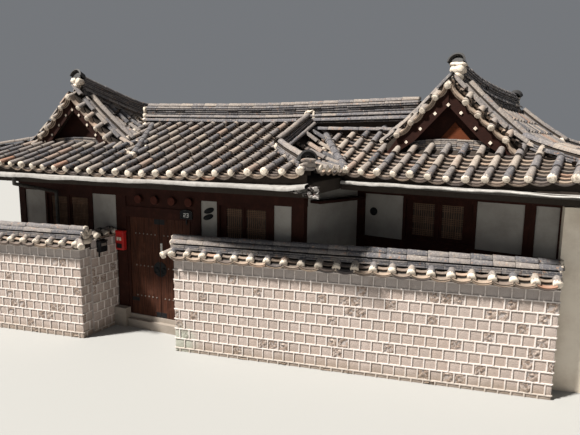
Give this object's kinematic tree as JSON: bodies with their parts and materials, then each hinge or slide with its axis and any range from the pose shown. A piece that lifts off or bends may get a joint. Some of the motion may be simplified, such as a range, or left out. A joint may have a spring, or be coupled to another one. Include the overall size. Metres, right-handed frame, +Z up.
{
  "type": "single-storey tile-roofed timber courtyard house with street walls",
  "caption": "Low timber-framed Korean house with hip-and-gable clay tile roofs, plastered walls, a double-leaf plank gate and tile-capped granite street walls",
  "frame": {"origin": "On the ground under the centre of the gate, in the plane of the front posts", "axes": "+X to the right along the house front seen from the street, +Y into the house, +Z up"},
  "size_m": [15.1566, 9.3228, 5.63],
  "materials": {
    "roof_tile": "weathered matt",
    "granite": "rough dressed",
    "stone": "rough dressed",
    "gate_boards": "oiled, worn",
    "timber": "oiled, worn",
    "plaster": "matt, limewashed",
    "window_paper": "aged wood and paper",
    "galvanised_tin": "dull",
    "black_iron": "black",
    "red_paint": "semi-gloss",
    "render": "matt"
  },
  "bodies": {
    "house": {"base_stone": "stone", "call_box": "red_paint", "canopy": "timber", "coping_left": "roof_tile", "coping_right": "roof_tile", "downpipe": "galvanised_tin", "frame_front_left": "timber", "frame_front_right": "timber", "frame_wing_front": "timber", "gate_frame": "timber", "gate_threshold": "timber", "gutter_main": "galvanised_tin", "gutter_wing": "galvanised_tin", "meter_box": "black_iron", "number_plate": "black_iron", "pediment_left_wing_front": "timber", "pediment_left_wing_rear": "timber", "pediment_right_wing_front": "timber", "pediment_right_wing_rear": "timber", "plinth": "stone", "rendered_wall": "render", "return_coping_left": "roof_tile", "return_coping_right": "roof_tile", "return_wall_left": "granite", "return_wall_right": "granite", "ridges_left_wing": "roof_tile", "ridges_main": "roof_tile", "ridges_right_wing": "roof_tile", "roof_left_wing": "roof_tile", "roof_main": "roof_tile", "roof_right_wing": "roof_tile", "street_wall_left": "granite", "street_wall_right": "granite", "wall_front_left": "plaster", "wall_front_right": "plaster", "wall_left_rear": "plaster", "wall_left_side": "plaster", "wall_left_yard": "plaster", "wall_main_rear": "plaster", "wall_slanting": "plaster", "wall_wing_front": "plaster", "wall_wing_rear": "plaster", "wall_wing_side": "plaster", "wall_wing_yard": "plaster", "window_front_left": "window_paper", "window_front_right": "window_paper", "window_left_rear": "window_paper", "window_left_side": "window_paper", "window_main_rear": "window_paper", "window_wing_front": "window_paper", "window_wing_rear": "window_paper", "window_wing_side": "window_paper"},
    "left_leaf": {"gate_leaf_left": "gate_boards", "ring_plate_left": "black_iron"},
    "right_leaf": {"gate_leaf_right": "gate_boards", "ring_plate_right": "black_iron"}
  },
  "joints": [
    {"name": "left_leaf_hinge", "type": "hinge", "parent": "house", "child": "left_leaf", "pos_m": [-0.771, 0.064, 0.285], "axis": [0, 0, 1], "range_deg": [0, 90]},
    {"name": "right_leaf_hinge", "type": "hinge", "parent": "house", "child": "right_leaf", "pos_m": [0.771, 0.064, 0.285], "axis": [0, 0, -1], "range_deg": [0, 90]}
  ]
}
